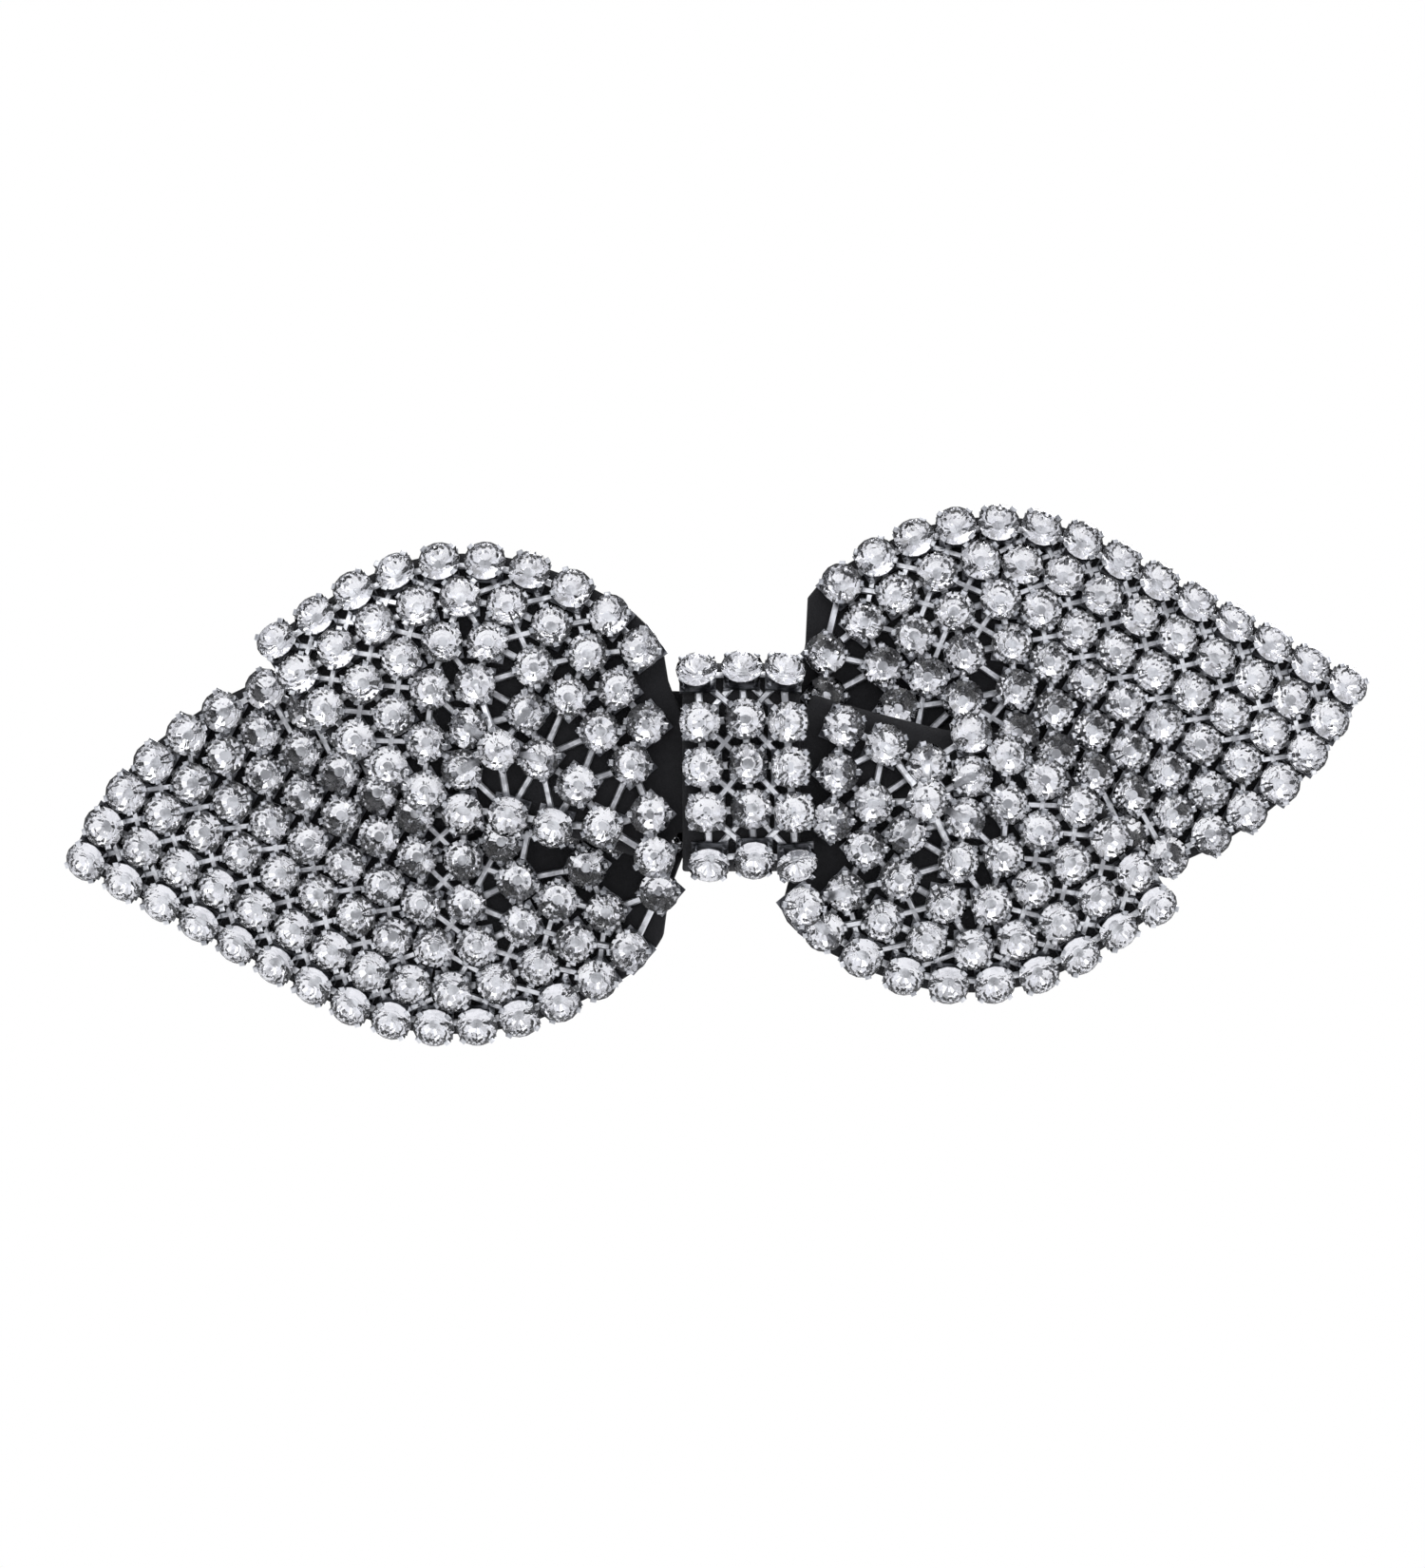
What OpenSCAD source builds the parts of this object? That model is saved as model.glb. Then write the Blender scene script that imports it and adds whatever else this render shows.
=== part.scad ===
// Rhinestone bow hair clip on a sprung barrette.
// Millimetres. +X runs along the barrette, +Z is up as worn, the stones face -Y.
// The origin is the middle of the hair channel, between tension leaf and closing bar.

/* [Bow] */
// Radius of the big outer bend of a rear leaf
rear_r = 19.4; // [19:0.5:24]
// Length of the straight outer edge of a rear leaf
rear_len = 24.4; // [20:0.2:30]
// Radius of the big outer bend of a front petal
front_r = 18.8; // [17:0.2:20]
// Length of the straight outer edge of a front petal
front_len = 7.2; // [5:0.1:11]
// Rows of stones in a rear leaf
rear_rows = 8; // [6:1:8]
// Rows of stones in a front petal
front_rows = 7; // [5:1:7]
// Radius the whole bow is bent to, along the head
bow_bend = 260; // [200:10:400]

/* [Stones] */
// Stone diameter at the girdle
stone_d = 3.6; // [3:0.02:3.64]
// Distance from stone to stone along a row
pitch = 3.75; // [3.6:0.05:4.2]
// Distance from row to row
row_pitch = 3.5; // [3.45:0.05:3.8]
// Outside width of a square cup
cup_w = 3.0; // [2.7:0.05:3.1]

/* [Felt] */
// Thickness of the felt behind the stones
felt_t = 0.7; // [0.5:0.1:0.9]

/* [Knot] */
// Half height of the knot band
knot_h = 9; // [8.8:0.1:10]

/* [Barrette] */
// Half length of the barrette, to the middle of the latch
bar_half = 38.4; // [32:0.2:46]
// Width of the top plate
plate_w = 9; // [8:0.5:11]
// Thickness of the plate and the closing bar
steel_t = 0.8; // [0.6:0.1:1]
// Radius the top plate is arched to
plate_r = 120; // [110:5:150]
// Width of the closing bar
bar_w = 5.4; // [4:0.2:6]
// Gap the hair goes through, at the middle
channel = 4.8; // [4.4:0.2:7]
// Gap between the plate's end tabs and the closed bar
latch_gap = 1.4; // [1.2:0.1:2]
// Least rise of the closing bar from its middle to its ends
bar_rise = 0.5; // [0.3:0.1:1]

/* [Hidden] */
eps = 0.01;
girdle = 1.4;
rear_a1 = 49.5;
rear_a2 = -28.5;
front_a1 = 52;
front_a2 = -32.8;
// Angle at which the innermost row runs into the knot
rear_in = 36;
front_in = 14;
// The tighter dome of a front petal spreads its stones a little
front_spread = 1.055;
rear_c = [24.1, 2.3];
// The left rear leaf is gathered less: its outer bend stays fuller towards the knot
full = 1.6;
front_c = [21.8, -0.4];
rear_clip = -8;
front_clip = -7.6;
rmin = 4.5;
step_up = 4.2;
plate_y = -channel / 2 - 2.4;
rear_h = -plate_y + 2.9;
front_h = rear_h + step_up;
knot_in = front_h + 0.25;
knot_zc = 0.5;
ring_out = knot_in + 0.8;
ring_back = rear_h - felt_t - 0.95;

// ---- Row geometry. A row bends from the knot (angle a1) round to the tip (angle a2). ----
function nrm(a) = [-sin(a), cos(a)];
function tng(a) = [cos(a), sin(a)];
function mid_m(a1, a2) = (nrm(a1) + nrm(a2)) / (1 + nrm(a1) * nrm(a2));
// Set: [centre, radius, a1, a2, end length, clip z, surface height, row count, z sign, inner a1, pitch]
rear_set = [rear_c, rear_r, rear_a1, rear_a2, rear_len, rear_clip, rear_h, rear_rows, 1,
    rear_in, pitch];
rear_left = [rear_c - full * nrm(rear_a2) - 0.4 * tng(rear_a2), rear_r + full, rear_a1 + 2,
    rear_a2, rear_len + 0.4, rear_clip, rear_h, rear_rows, 1, rear_in, pitch];
front_set = [front_c, front_r, front_a1, front_a2, front_len, front_clip, front_h, front_rows, -1,
    front_in, pitch * front_spread];
// Angle at which the row at offset e leaves the knot: the inner rows are gathered flatter
function la(q, e) = q[2] + (q[9] - q[2]) * pow(min(max(e / wid(q), 0), 1), 2);
function wid(q) = row_e(q[7] - 1);
// Distance of a row in from the outer row
function row_e(k) = k == 0 ? 0 : k * row_pitch - 0.32;
// Where a row ends: the cut is square for the first rows, then slants back
function cut_t(q, e) = q[4] - (q[8] > 0 ? 0.0215 : 0.0165) * pow(max(0, e - 3), 2);
function rr(q, e) = max(q[1] - e, rmin);
function cc(q, e) = q[0] + (q[1] - e - rr(q, e)) * mid_m(la(q, e), q[3]);
// Length of the straight part, measured back from the cut end
function len2(q, e) = let (c = cc(q, e)) cut_t(q, e) - (c - q[0]) * tng(q[3]);
function arc2(q, e) = rr(q, e) * (la(q, e) - q[3]) * PI / 180;
// [x, z, tangent angle] at distance s back from the cut end of the row at offset e
function spot(q, e, s) = let (
    l2 = len2(q, e),
    lb = arc2(q, e),
    c = cc(q, e),
    r = rr(q, e),
    a1 = la(q, e),
    g = min(max(s - l2, 0) / r * 180 / PI, a1 - q[3]),
    a = q[3] + g,
    p = c + r * nrm(a) + (s < l2 ? (l2 - s) * tng(q[3]) : [0, 0])
        - (s > l2 + lb ? (s - l2 - lb) * tng(a1) : [0, 0]))
    [p[0], p[1], a];
// Height and slope of the domed sheet at offset e
so = 0.5;
lo = 4.5;
si = 0.3;
li = 4;
function dome(q, e) = -so * lo * exp(-e / lo) - si * li * exp(-(wid(q) - e) / li);
function dslope(q, e) = so * exp(-e / lo) - si * exp(-(wid(q) - e) / li);
// The dome flattens out towards the knot
function fade(x) = 1 - exp(-pow(max(x - 4, 0) / 6, 2));
// Girdle point and outward normal in [x, h, z] before the part is turned to face -Y
function surf(q, e, s) = let (
    p = spot(q, e, s),
    out = nrm(p[2]),
    f = fade(p[0]),
    df = (fade(p[0] + 0.1) - f) / 0.1,
    gx = -dslope(q, e) * f * out[0] + dome(q, e) * df - p[0] / bow_bend,
    gz = -dslope(q, e) * f * out[1],
    n = [-gx, 1, -gz] / norm([-gx, 1, -gz]),
    h = q[6] + girdle + dome(q, e) * f - p[0] * p[0] / (2 * bow_bend))
    [[p[0], h, p[1]], n, p[2]];
// Turn [x, h, z] into part axes; sg turns the left half 180 degrees about Y
function put(v, q, sg) = [sg * v[0], -v[1], sg * q[8] * v[2]];
function pt(q, e, s, off, sg) = let (f = surf(q, e, s)) put(f[0] + off * f[1], q, sg);
// Stones kept: clear of the knot band and inside the sheet
function keep(q, p, sg) = p[1] > q[5]
    && (p[0] > (sg > 0 ? 9.35 : 4.95) || (p[1] > 11.2 && p[0] > (sg > 0 ? 6 : 3)));
function grid(q, sg, ks, ds, n, tries, lift = 0) = [for (k = ks)
    for (i = [0:n])
        for (d = tries)
            let (e = (k < 1 ? 0 : row_e(k)) + d[0], t = i * ds + d[1], p = spot(q, e, t))
                if (keep(q, p, sg) && (ds == q[10] || p[0] < 29)) [e, t, pt(q, e, t, lift, sg), lift]];
// A stone is left out where the gathered rows have no room for it
function clear(p, got) = len([for (g = got) if (norm(g[2] - p) < stone_d + 0.03) 1]) == 0;
function cull(list, i = 0, got = []) = i >= len(list) ? got
    : cull(list, i + 1, clear(list[i][2], got) ? concat(got, [list[i]]) : got);
// The regular rows first, each stone eased inwards or along until it clears its neighbours,
// then single stones wherever a gap would still take one, pushed up where the ribbon is pleated
ease = [[0, 0], [0.25, 0], [0.5, 0], [0.3, -0.5], [0.3, 0.5], [0.8, 0], [0.8, -0.8], [0.8, 0.8]];
function fill(q, sg, lift) = grid(q, sg, [0.99:0.2:q[7] - 1], q[10] / 5, 110, [[0, 0]], lift);
// Stones set close along the side of the knot, on the rear ribbons only: the front ones lie
// too near the knot's own cups
function side_s(q, e, x) = len2(q, e) + arc2(q, e)
    + (cc(q, e)[0] + rr(q, e) * nrm(la(q, e))[0] - x) / cos(la(q, e));
function side(q, sg) = q[8] < 0 ? [] : [for (e = [0:0.25:wid(q)])
    let (s = side_s(q, e, sg > 0 ? 9.4 : 5), p = spot(q, e, s))
        if (s > 0 && p[1] < 10.4 && keep(q, p, sg)) [e, s, pt(q, e, s, 0, sg), 0]];
function spots(q, sg) = cull(concat(side(q, sg), grid(q, sg, [0:q[7] - 1], q[10], 24, ease),
    fill(q, sg, 0), fill(q, sg, q[8] > 0 ? 0.4 : 1), fill(q, sg, q[8] > 0 ? 0.7 : 1.7)));

// Place children standing on the sheet: local Z outward, local X along the row
module seat(q, es, sg) {
    f = surf(q, es[0], es[1]);
    n = put(f[1], q, sg);
    tl = put([cos(f[2]), 0, sin(f[2])], q, sg);
    w = cross(n, tl) / norm(cross(n, tl));
    t = cross(w, n);
    o = put(f[0], q, sg) + (es[3] - girdle) * n;
    multmatrix([[t[0], w[0], n[0], o[0]], [t[1], w[1], n[1], o[1]], [t[2], w[2], n[2], o[2]]])
        children();
}

// ---- Cup and stone, both standing on z = 0 ----
module cup() {
    difference() {
        translate([-cup_w / 2, -cup_w / 2, 0.02]) cube([cup_w, cup_w, 1.75]);
        translate([0, 0, 0.25]) cylinder(h = 3, r = cup_w / 2 - 0.14, $fn = 32);
        translate([0, 0, 1.15]) cylinder(h = 3, r = stone_d / 2 + 0.02, $fn = 32);
        translate([-3, -cup_w / 3, 1.15]) cube([6, cup_w * 2 / 3, 2]);
        translate([-cup_w / 3, -3, 1.15]) cube([cup_w * 2 / 3, 6, 2]);
    }
}

module stone() {
    rotate_extrude($fn = 32)
        polygon([[0, 0.25], [0.12, 0.25], [stone_d / 2, 1.33], [stone_d / 2, 1.48],
            [stone_d * 0.27, 2.1], [0, 2.1]]);
}

module cups(q, sg) {
    for (es = spots(q, sg)) seat(q, es, sg) cup();
}

module stones(q, sg) {
    for (es = spots(q, sg)) seat(q, es, sg) stone();
}

// ---- Felt sheet behind a ribbon: tip, leaf, waist, leaf, tip in one closed shell ----
nv = 12;
ns = 18;
function back_s(q, e, sg) = let (
    c = cc(q, e),
    a1 = la(q, e),
    t1 = c + rr(q, e) * nrm(a1),
    q1 = (t1[0] - (sg > 0 ? 8.7 : 4.9)) / cos(a1),
    q2 = (t1[1] - q[5] + (q[8] > 0 ? 1.6 : 0.4)) / max(sin(a1), 0.05))
    len2(q, e) + arc2(q, e) + max(min(q1, q2), 0);
function sheet_pt(q, i, j, off, sg) = let (
    e = -1.5 + j * (wid(q) + 3) / nv,
    s0 = -1.5,
    s1 = back_s(q, e, sg))
    i <= ns ? pt(q, e, s0 + i * (s1 - s0) / ns, off, sg)
    : put([sg > 0 ? 7.5 : 3.7, q[6] + girdle + off, (q[8] > 0 ? 7 : 5) * (1 - 2 * j / nv)], q, sg);
function sheet_row(q, off, sg) = [for (i = [0:ns + 1]) [for (j = [0:nv]) sheet_pt(q, i, j, off, sg)]];
function flip(g) = [for (i = [len(g) - 1:-1:0]) [for (j = [nv:-1:0]) g[i][j]]];
function whole(q, ql, off) = concat(sheet_row(q, off, 1), flip(sheet_row(ql, off, -1)));

module shell(f, b) {
    m = len(f);
    n = len(f[0]);
    k = m * n;
    pts = [for (g = [f, b]) for (r = g) for (p = r) p];
    tri = concat(
        [for (i = [0:m - 2]) for (j = [0:n - 2]) for (t = [
            [i * n + j, i * n + j + 1, (i + 1) * n + j + 1],
            [i * n + j, (i + 1) * n + j + 1, (i + 1) * n + j]]) t],
        [for (i = [0:m - 2]) for (j = [0:n - 2]) for (t = [
            [k + i * n + j, k + (i + 1) * n + j + 1, k + i * n + j + 1],
            [k + i * n + j, k + (i + 1) * n + j, k + (i + 1) * n + j + 1]]) t],
        [for (i = [0:m - 2]) for (t = [
            [i * n, (i + 1) * n, k + (i + 1) * n],
            [i * n, k + (i + 1) * n, k + i * n],
            [i * n + n - 1, k + (i + 1) * n + n - 1, (i + 1) * n + n - 1],
            [i * n + n - 1, k + i * n + n - 1, k + (i + 1) * n + n - 1]]) t],
        [for (j = [0:n - 2]) for (t = [
            [j, k + j, k + j + 1],
            [j, k + j + 1, j + 1],
            [(m - 1) * n + j, k + (m - 1) * n + j + 1, k + (m - 1) * n + j],
            [(m - 1) * n + j, (m - 1) * n + j + 1, k + (m - 1) * n + j + 1]]) t]);
    polyhedron(points = pts, faces = [for (t = tri) [t[0], t[2], t[1]]], convexity = 10);
}

module felt_ribbon(q, ql) {
    shell(whole(q, ql, -girdle), whole(q, ql, -girdle - felt_t));
}

module rear_backing() {
    color([0.12, 0.12, 0.13]) felt_ribbon(rear_set, rear_left);
}

module front_backing() {
    color([0.12, 0.12, 0.13]) felt_ribbon(front_set, front_set);
}

module rear_right_cups() {
    color([0.55, 0.56, 0.58]) cups(rear_set, 1);
}

module rear_right_stones() {
    color([0.9, 0.92, 0.94]) stones(rear_set, 1);
}

module rear_left_cups() {
    color([0.55, 0.56, 0.58]) cups(rear_left, -1);
}

module rear_left_stones() {
    color([0.9, 0.92, 0.94]) stones(rear_left, -1);
}

module front_right_cups() {
    color([0.55, 0.56, 0.58]) cups(front_set, 1);
}

module front_right_stones() {
    color([0.9, 0.92, 0.94]) stones(front_set, 1);
}

module front_left_cups() {
    color([0.55, 0.56, 0.58]) cups(front_set, -1);
}

module front_left_stones() {
    color([0.9, 0.92, 0.94]) stones(front_set, -1);
}

// ---- Knot: a felt band looped round the waist, cups on its front ----
band_x0 = -3.0;
band_x1 = 7.2;
col_x = [-1.1, 2.7, 6.15];
lean = 4;
corner = 3.8;
back_corner = 2.2;
module round_box(z, y0, y1, rf, rb) {
    intersection() {
        translate([y0, -z]) square([y1 - y0, 2 * z]);
        union() {
            for (b = [-1, 1]) {
                translate([y1 - rf, b * (z - rf)]) circle(r = rf, $fn = 64);
                translate([y0 + rb, b * (z - rb)]) circle(r = rb, $fn = 48);
            }
            translate([y0 + rb, -z]) square([y1 - rf - y0 - rb, 2 * z]);
            translate([y0, rb - z]) square([y1 - rf - y0, 2 * (z - rb)]);
            translate([y0 + rb, rf - z]) square([y1 - y0 - rb, 2 * (z - rf)]);
        }
    }
}

module band_place() {
    translate([0, 0, knot_zc]) children();
}

module knot_band() {
    color([0.12, 0.12, 0.13]) band_place()
        multmatrix([[0, 0, 1, 0], [1, 0, 0, 0], [0, 1, 0, 0], [0, 0, 0, 1]])
        translate([0, 0, band_x0]) linear_extrude(band_x1 - band_x0) mirror([1, 0, 0])
        difference() {
            round_box(knot_h, ring_back, ring_out, corner, back_corner);
            round_box(knot_h - 0.8, ring_back + 0.8, knot_in, corner - 0.8, back_corner - 0.8);
        }
}

// Station along the outside of the band: [z, h, angle from the front]
flat = knot_h - corner;
function station(s) = let (a = abs(s), sg = s < 0 ? -1 : 1,
    g = min(max(a - flat, 0) / corner * 180 / PI, 90))
    a <= flat ? [s, ring_out, 0]
    : [sg * (flat + corner * sin(g)), ring_out - corner + corner * cos(g), sg * g];

module knot_seats() {
    for (c = [0:2]) for (k = [-2:2]) {
        st = station(k * 3.85 + (c == 1 ? 0.3 : 0));
        band_place() translate([col_x[c] - st[0] * sin(lean), -st[1], st[0]])
            rotate([90 - st[2], 0, 0]) rotate([0, c == 2 ? 9 : (c == 0 ? -4 : 0), 0])
            translate([0, 0, c == 2 ? 0.3 : (c == 0 ? 0.14 : 0.02)]) children();
    }
}

module knot_cups() {
    color([0.55, 0.56, 0.58]) knot_seats() cup();
}

module knot_stones() {
    color([0.9, 0.92, 0.94]) knot_seats() stone();
}

// ---- Barrette ----
plate_cy = plate_y + plate_r;
tab_x = bar_half - 2.4;
leaf_half = tab_x - 1.5;
bridge_x = leaf_half - 1.3;
tab_y = plate_cy - sqrt(plate_r * plate_r - tab_x * tab_x);
tab_back = tab_y + steel_t;
// The closed bar clears both the plate's end tabs and the hair channel
bar_front = channel / 2;
bar_y = max(tab_back + latch_gap, bar_front + bar_rise);
bar_arc = tab_x * tab_x / (2 * (bar_y - bar_front));
hinge_x = -bar_half - 1.1;
hinge_y = bar_y + steel_t / 2;
end_x = bar_half + 2.8;

module arc_strip(r_out, t, cy, half, w) {
    fn = r_out > 400 ? 3600 : 720;
    translate([0, cy, 0]) intersection() {
        difference() {
            translate([0, 0, -w / 2]) cylinder(h = w, r = r_out, $fn = fn);
            translate([0, 0, -w]) cylinder(h = 2 * w, r = r_out - t, $fn = fn);
        }
        translate([-half, -r_out - 1, -w]) cube([2 * half, r_out, 2 * w]);
    }
}

// A flat tab with a rounded outer end
module end_tab(x0, x1, y0, t, w) {
    translate([x0, y0, -w / 2]) cube([x1 - x0 - w / 2, t, w]);
    intersection() {
        translate([x1 - w / 2, y0 + t, 0]) rotate([90, 0, 0]) cylinder(h = t, r = w / 2, $fn = 48);
        translate([x1 - w / 2 - 0.1, y0 - 1, -w]) cube([w, t + 2, 2 * w]);
    }
}

module barrette_plate() {
    color([0.7, 0.7, 0.72]) difference() {
        union() {
            arc_strip(plate_r, steel_t, plate_cy, tab_x, plate_w);
            end_tab(tab_x - 1.2, end_x + 1.2, tab_y, steel_t, plate_w);
            translate([hinge_x - 1.9, tab_y, -plate_w / 2])
                cube([3.1 - tab_x - hinge_x, steel_t, plate_w]);
            for (z = [-1, 1]) translate([hinge_x, 0, z * (plate_w / 2 - 0.6)]) {
                translate([-1.5, tab_y + 0.3, -0.4]) cube([3, hinge_y - tab_y - 0.3, 0.8]);
                translate([0, hinge_y, -0.4]) cylinder(h = 0.8, r = 1.5, $fn = 32);
            }
            for (x = [-1, 1]) leaf_bridge(x * bridge_x);
        }
        for (x = [-28, -18, -9, 9, 18, 28]) translate([x, plate_y - 1, 0]) rotate([-90, 0, 0])
            cylinder(h = 12, r = 1, $fn = 24);
        translate([bar_half, tab_y - 1, 0]) rotate([-90, 0, 0]) cylinder(h = 4, r = 0.75, $fn = 24);
        translate([hinge_x, hinge_y, -8]) cylinder(h = 16, r = 0.53, $fn = 24);
    }
}

// Small staple the end of the tension leaf slides in
leaf_r = 150;
leaf_y = -channel / 2;
leaf_t = 0.4;
function leaf_back(x) = leaf_y + leaf_r - sqrt(leaf_r * leaf_r - x * x);
module leaf_bridge(x) {
    y1 = leaf_back(x) + 0.6;
    for (z = [-1, 1]) translate([x - 0.6, plate_cy - sqrt(plate_r * plate_r - x * x) + 0.3,
        z * 3.1 - 0.25]) cube([1.2, y1 - plate_cy + sqrt(plate_r * plate_r - x * x) - 0.3, 0.5]);
    translate([x - 0.6, y1 - 0.4, -3.35]) cube([1.2, 0.4, 6.7]);
}

module tension_leaf() {
    color([0.75, 0.75, 0.77])
        arc_strip(leaf_r + leaf_t, leaf_t, leaf_y + leaf_r, leaf_half, 5);
}

module hinge_rivet() {
    color([0.8, 0.8, 0.82]) translate([hinge_x, hinge_y, 0]) {
        translate([0, 0, -plate_w / 2 + 0.18]) cylinder(h = plate_w - 0.36, r = 0.5, $fn = 24);
        for (z = [-1, 1]) translate([0, 0, z * (plate_w / 2 + 0.07) - 0.25])
            cylinder(h = 0.5, r = 0.95, $fn = 24);
    }
}

// Closing bar: a curl round the rivet, a slim arched strip and a windowed end
win_x0 = bar_half - 2.2;
win_x1 = bar_half + 2.2;
bar_bend = tab_x - 1.4;
module closing_bar() {
    color([0.78, 0.78, 0.8]) difference() {
        union() {
            arc_strip(bar_arc, steel_t, bar_front + bar_arc, bar_bend + 0.4, bar_w);
            translate([hinge_x, bar_y, -bar_w / 2]) cube([-bar_bend - hinge_x, steel_t, bar_w]);
            translate([hinge_x, hinge_y, -bar_w / 2]) cylinder(h = bar_w, r = 1, $fn = 32);
            translate([bar_bend, bar_y, -bar_w / 2]) cube([win_x0 - bar_bend, steel_t, bar_w]);
            translate([win_x0 - 1, bar_y, -4.2]) cube([win_x1 - win_x0 + 1, steel_t, 8.4]);
            end_tab(win_x1 - 4, win_x1 + 1.6, bar_y, steel_t, 8.4);
        }
        translate([win_x0, bar_y - 1, -3.1]) cube([win_x1 - win_x0 - 0.6, 3, 6.2]);
        translate([hinge_x, hinge_y, -8]) cylinder(h = 16, r = 0.55, $fn = 24);
    }
}

// Latch: a foot riveted to the plate and two springy prongs pinched together to let go
foot_y = tab_back + 0.02;
prong_y = foot_y + 0.8;
prong_z = 2.05;
prong_l = hinge_y - prong_y + 2.2;
module latch_foot() {
    color([0.72, 0.72, 0.74]) difference() {
        translate([bar_half - 1.9, foot_y, -2.9]) cube([3.8, 0.4, 5.8]);
        translate([bar_half, foot_y - 1, 0]) rotate([-90, 0, 0]) cylinder(h = 3, r = 0.75, $fn = 24);
    }
}

module latch_rivet() {
    color([0.8, 0.8, 0.82]) translate([bar_half, 0, 0]) rotate([-90, 0, 0]) {
        translate([0, 0, tab_y - 0.02]) cylinder(h = foot_y + 0.44 - tab_y, r = 0.7, $fn = 24);
        translate([0, 0, tab_y - 0.37]) cylinder(h = 0.35, r = 1.2, $fn = 24);
        translate([0, 0, foot_y + 0.42]) cylinder(h = 0.3, r = 1.15, $fn = 24);
    }
}

module prong() {
    translate([bar_half - 1.5, prong_y, prong_z]) rotate([0, 90, 0])
        cylinder(h = 3, r = 0.32, $fn = 24);
    translate([bar_half - 1.5, prong_y, prong_z - 0.2]) cube([3, prong_l, 0.4]);
    translate([bar_half - 1.5, bar_y + steel_t + 0.15, prong_z]) rotate([0, 90, 0])
        linear_extrude(3) polygon([[0, 0], [-0.72, 0], [-0.72, 0.25], [-0.1, 1.1], [0, 1.1]]);
    translate([bar_half, prong_y + prong_l, prong_z - 0.2])
        cylinder(h = 0.4, r = 1.5, $fn = 32);
}

module latch_prong_upper() {
    color([0.74, 0.74, 0.76]) prong();
}

module latch_prong_lower() {
    color([0.74, 0.74, 0.76]) mirror([0, 0, 1]) prong();
}

// Felt pads between the plate and the rear ribbon, either side of the knot band
pad_in = 8.6;
pad_out = 24;
module pad(x0, x1) {
    intersection() {
        difference() {
            translate([0, -rear_h + felt_t + 0.8 + bow_bend, -3.9])
                cylinder(h = 7.8, r = bow_bend, $fn = 1440);
            translate([0, plate_cy, -6]) cylinder(h = 12, r = plate_r + 0.02, $fn = 1440);
        }
        translate([x0, -30, -5]) cube([x1 - x0, 30 + plate_y + 6, 10]);
    }
}

module backing_pads() {
    color([0.14, 0.14, 0.15]) {
        pad(pad_in, pad_out);
        pad(-pad_out, -pad_in);
    }
}

// Thread loops that sew each pad to the plate
module loop_at(x) {
    yf = plate_cy - sqrt(plate_r * plate_r - x * x) - 0.9;
    yb = yf + 0.9 + steel_t + 0.35;
    for (z = [-1, 1]) translate([x, yf, z * (plate_w / 2 + 0.35)]) rotate([-90, 0, 0])
        cylinder(h = yb - yf, r = 0.2, $fn = 24);
    for (y = [yf, yb]) translate([x, y, -plate_w / 2 - 0.35]) cylinder(h = plate_w + 0.7, r = 0.2, $fn = 24);
    for (y = [yf, yb]) for (z = [-1, 1]) translate([x, y, z * (plate_w / 2 + 0.35)])
        sphere(r = 0.2, $fn = 24);
}

module thread_loops() {
    color([0.2, 0.2, 0.21]) for (x = [-21, -13, 13, 21]) loop_at(x);
}

barrette_plate();
tension_leaf();
hinge_rivet();
closing_bar();
latch_foot();
latch_rivet();
latch_prong_upper();
latch_prong_lower();
backing_pads();
thread_loops();
rear_backing();
rear_right_cups();
rear_right_stones();
rear_left_cups();
rear_left_stones();
front_backing();
front_right_cups();
front_right_stones();
front_left_cups();
front_left_stones();
knot_band();
knot_cups();
knot_stones();
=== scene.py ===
"""A rhinestone bow hair clip: two crossed ribbons of set stones, a knot band and a French barrette.

Metres, in the part's own frame: +X runs along the barrette, +Z is up as worn, and the stones
face -Y. Each class below is one sub-assembly and dresses or rebuilds its own pieces.
"""

import logging
import math
from dataclasses import dataclass, field
from enum import Enum
from typing import Callable, Iterable

import bmesh
import bpy
import numpy as np
from mathutils import Matrix, Vector, noise


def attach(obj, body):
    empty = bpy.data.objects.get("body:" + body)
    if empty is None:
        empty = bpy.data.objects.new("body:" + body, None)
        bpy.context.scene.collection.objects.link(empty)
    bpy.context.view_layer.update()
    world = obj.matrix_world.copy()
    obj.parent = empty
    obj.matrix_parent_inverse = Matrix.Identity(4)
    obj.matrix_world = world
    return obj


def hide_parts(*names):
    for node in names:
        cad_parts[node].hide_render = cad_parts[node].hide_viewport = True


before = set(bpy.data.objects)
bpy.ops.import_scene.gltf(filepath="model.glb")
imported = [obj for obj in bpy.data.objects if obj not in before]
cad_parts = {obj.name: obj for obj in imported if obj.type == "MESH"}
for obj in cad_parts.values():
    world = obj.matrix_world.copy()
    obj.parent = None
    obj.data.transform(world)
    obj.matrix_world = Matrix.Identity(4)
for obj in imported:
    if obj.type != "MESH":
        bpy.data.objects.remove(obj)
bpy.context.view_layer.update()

LOG = logging.getLogger("hair_clip")
MM = 0.001


class Body(Enum):
    """The rigid body that the new pieces ride on."""

    CLIP = "clip"


# ---------------------------------------------------------------- node helpers


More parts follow.
